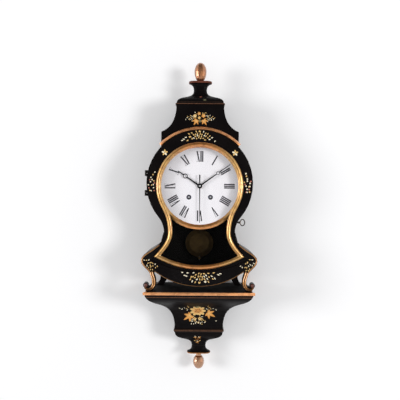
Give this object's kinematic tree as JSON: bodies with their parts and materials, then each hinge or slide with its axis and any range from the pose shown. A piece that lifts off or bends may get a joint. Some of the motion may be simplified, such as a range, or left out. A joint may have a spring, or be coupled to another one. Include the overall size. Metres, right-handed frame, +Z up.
{
  "type": "bracket clock",
  "caption": "Waisted black lacquered bracket clock with gilt mouldings on its own wall bracket, glazed front door, white dial, striking movement and pendulum",
  "frame": {"origin": "on the flat back of the bracket's backboard, on the centre line, 55 mm below the top of the shelf", "axes": "+X to the viewer's right, +Y into the wall, +Z up; the clock faces -Y"},
  "size_m": [0.328, 0.1723, 0.9177],
  "materials": {
    "lacquer": "black lacquer, polished",
    "gilt": "gilded",
    "gilt_brass": "gilded",
    "brass": "satin",
    "steel": "satin",
    "blued_steel": "blued",
    "enamel": "white enamel",
    "wood": "bare, darkened",
    "glass": "clear"
  },
  "bodies": {
    "case_and_bracket": {"bracket_shelf": "lacquer", "shelf_gilt_edge": "gilt", "bracket_body": "lacquer", "bracket_cup": "lacquer", "bracket_flare": "lacquer", "bracket_finial": "gilt", "bracket_backboard": "wood", "case_shell": "lacquer", "case_backboard": "wood", "case_floor": "wood", "front_apron": "lacquer", "left_front_leg": "lacquer", "right_front_leg": "lacquer", "left_rear_leg": "lacquer", "right_rear_leg": "lacquer", "crest_body": "lacquer", "crest_dome": "lacquer", "crest_cap": "lacquer", "crest_finial": "gilt", "arch_moulding": "gilt", "upper_hinge_leaf": "brass", "lower_hinge_leaf": "brass", "dial": "enamel", "dial_bezel": "gilt_brass", "front_plate": "brass", "back_plate": "brass", "left_lower_pillar": "brass", "left_upper_pillar": "brass", "right_lower_pillar": "brass", "right_upper_pillar": "brass", "movement_seat": "wood", "suspension_cock": "brass", "bell": "brass", "bell_stand": "steel"},
    "door": {"door_frame": "lacquer", "door_moulding": "gilt", "door_glass": "glass", "upper_door_leaf": "brass", "lower_door_leaf": "brass", "lock_keeper": "steel"},
    "lock": {"door_key": "steel", "lock_hook": "steel"},
    "minute": {"minute_hand": "blued_steel", "cannon_pinion": "steel"},
    "hour": {"hour_hand": "blued_steel", "hour_wheel": "brass"},
    "minute_wheel_body": {"minute_wheel": "brass"},
    "centre": {"centre_wheel": "brass"},
    "third": {"third_wheel": "brass"},
    "escape": {"escape_wheel": "brass", "seconds_hand": "blued_steel"},
    "going_barrel_body": {"going_barrel": "brass"},
    "going_winding": {"going_arbor": "steel"},
    "strike_barrel_body": {"strike_barrel": "brass"},
    "strike_winding": {"strike_arbor": "steel"},
    "pendulum": {"pendulum_rod": "steel", "pendulum_bob": "brass", "rating_nut": "brass"},
    "anchor_body": {"anchor": "steel"},
    "hammer_body": {"hammer": "steel"}
  },
  "joints": [
    {"name": "door_swing", "type": "hinge", "parent": "case_and_bracket", "child": "door", "pos_m": [-0.1525, -0.1473, 0.359], "axis": [0, 0, -1], "range_deg": [0, 110]},
    {"name": "key_turn", "type": "hinge", "parent": "case_and_bracket", "child": "lock", "pos_m": [0.1245, -0.11, 0.2475], "axis": [1, 0, 0], "range_deg": [0, 90]},
    {"name": "minute_turn", "type": "hinge", "parent": "case_and_bracket", "child": "minute", "pos_m": [0, -0.1303, 0.352], "axis": [0, 1, 0], "continuous": true},
    {"name": "hour_turn", "type": "hinge", "parent": "case_and_bracket", "child": "hour", "pos_m": [0, -0.1275, 0.352], "axis": [0, 1, 0], "continuous": true},
    {"name": "minute_wheel_turn", "type": "hinge", "parent": "case_and_bracket", "child": "minute_wheel_body", "pos_m": [0.01638, -0.1112, 0.36347], "axis": [0, 1, 0], "continuous": true},
    {"name": "third_turn", "type": "hinge", "parent": "case_and_bracket", "child": "third", "pos_m": [-0.03074, -0.0715, 0.36633], "axis": [0, 1, 0], "continuous": true},
    {"name": "centre_turn", "type": "hinge", "parent": "case_and_bracket", "child": "centre", "pos_m": [0, -0.079, 0.352], "axis": [0, 1, 0], "continuous": true},
    {"name": "escape_turn", "type": "hinge", "parent": "case_and_bracket", "child": "escape", "pos_m": [0, -0.064, 0.352], "axis": [0, 1, 0], "continuous": true},
    {"name": "going_barrel_turn", "type": "hinge", "parent": "case_and_bracket", "child": "going_barrel_body", "pos_m": [0.031, -0.102, 0.32], "axis": [0, 1, 0], "continuous": true},
    {"name": "going_winding_turn", "type": "hinge", "parent": "case_and_bracket", "child": "going_winding", "pos_m": [0.031, -0.108, 0.32], "axis": [0, 1, 0], "continuous": true},
    {"name": "strike_barrel_turn", "type": "hinge", "parent": "case_and_bracket", "child": "strike_barrel_body", "pos_m": [-0.031, -0.1, 0.32], "axis": [0, 1, 0], "continuous": true},
    {"name": "strike_winding_turn", "type": "hinge", "parent": "case_and_bracket", "child": "strike_winding", "pos_m": [-0.031, -0.108, 0.32], "axis": [0, 1, 0], "continuous": true},
    {"name": "pendulum_swing", "type": "hinge", "parent": "case_and_bracket", "child": "pendulum", "pos_m": [0, -0.036, 0.386], "axis": [0, 1, 0], "range_deg": [-3.5, 3.5]},
    {"name": "anchor_swing", "type": "hinge", "parent": "case_and_bracket", "child": "anchor_body", "pos_m": [0, -0.05, 0.386], "axis": [0, 1, 0], "range_deg": [-3.5, 3.5]},
    {"name": "hammer_lift", "type": "hinge", "parent": "case_and_bracket", "child": "hammer_body", "pos_m": [-0.04, -0.079, 0.402], "axis": [0, 1, 0], "range_deg": [-12, 0]}
  ],
  "couplings": [
    {"joint": "minute_wheel_turn", "follows": "minute_turn", "ratio": -0.33333},
    {"joint": "hour_turn", "follows": "minute_turn", "ratio": 0.083333},
    {"joint": "centre_turn", "follows": "third_turn", "ratio": -0.125},
    {"joint": "escape_turn", "follows": "third_turn", "ratio": -7.5},
    {"joint": "going_barrel_turn", "follows": "third_turn", "ratio": 0.015625},
    {"joint": "anchor_swing", "follows": "pendulum_swing", "ratio": 1}
  ]
}
